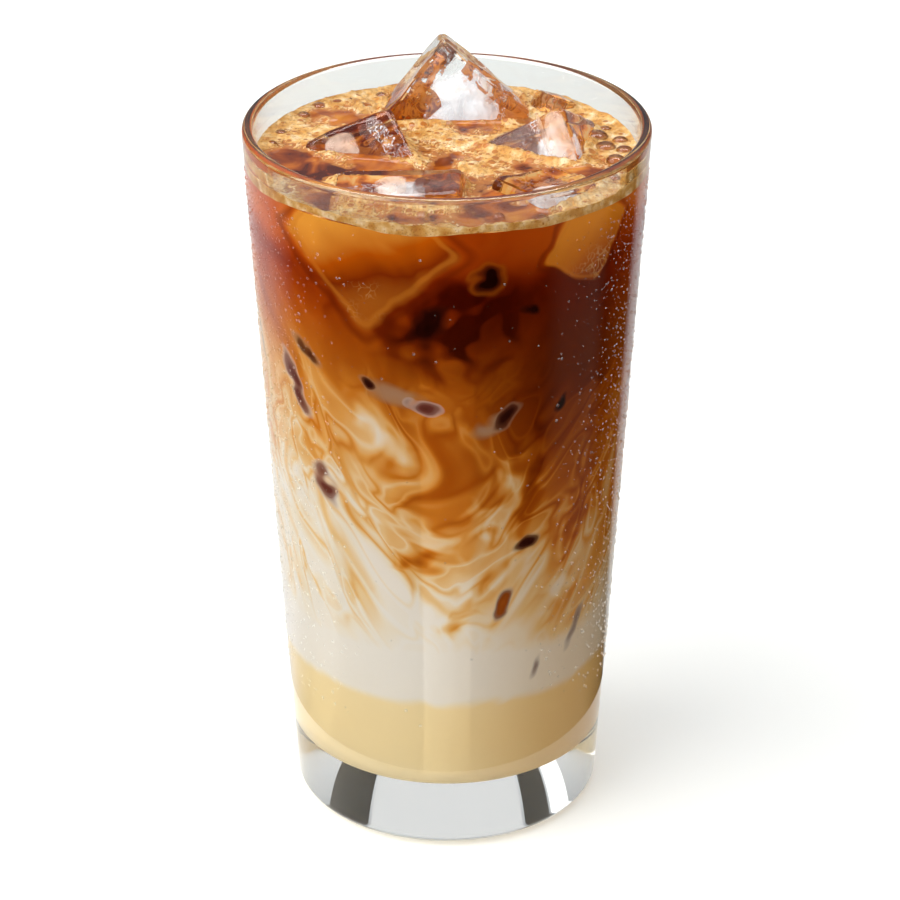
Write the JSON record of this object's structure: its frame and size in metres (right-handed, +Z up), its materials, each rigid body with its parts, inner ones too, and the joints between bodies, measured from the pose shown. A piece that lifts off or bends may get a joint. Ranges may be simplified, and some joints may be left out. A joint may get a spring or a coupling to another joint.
{
  "type": "iced latte in a tumbler",
  "caption": "Layered iced latte in a tall clear tumbler: condensed milk below, marbled milk and dark coffee above, crema and tilted ice cubes on top.",
  "frame": {"origin": "middle of the glass's flat underside, on the surface it stands on", "axes": "+Z up, along the axis of the glass; -Y towards the viewer's side, where the flat ice cube lies; +X to the right of that view"},
  "size_m": [0.0838, 0.0838, 0.1626],
  "materials": {
    "clear_glass": "clear pressed soda-lime glass, polished, with fine condensation outside",
    "condensed_milk": "opaque pale yellow sweetened condensed milk",
    "milk": "opaque white milk with caramel coloured wisps of coffee",
    "coffee": "dark brown coffee, amber where it is thin, marbled with milk lower down",
    "crema": "golden brown foam with open bubbles",
    "ice": "clear wet ice with cloudy white cores and fine cracks"
  },
  "bodies": {
    "root": {"glass": "clear_glass", "condensed_milk": "condensed_milk", "milk": "milk", "coffee": "coffee", "crema": "crema", "ice_cube_centre": "ice", "ice_cube_left": "ice", "ice_cube_right": "ice", "ice_cube_front": "ice", "ice_cube_front_right": "ice", "ice_cube_back_right": "ice", "ice_cube_back_left": "ice"}
  },
  "joints": []
}
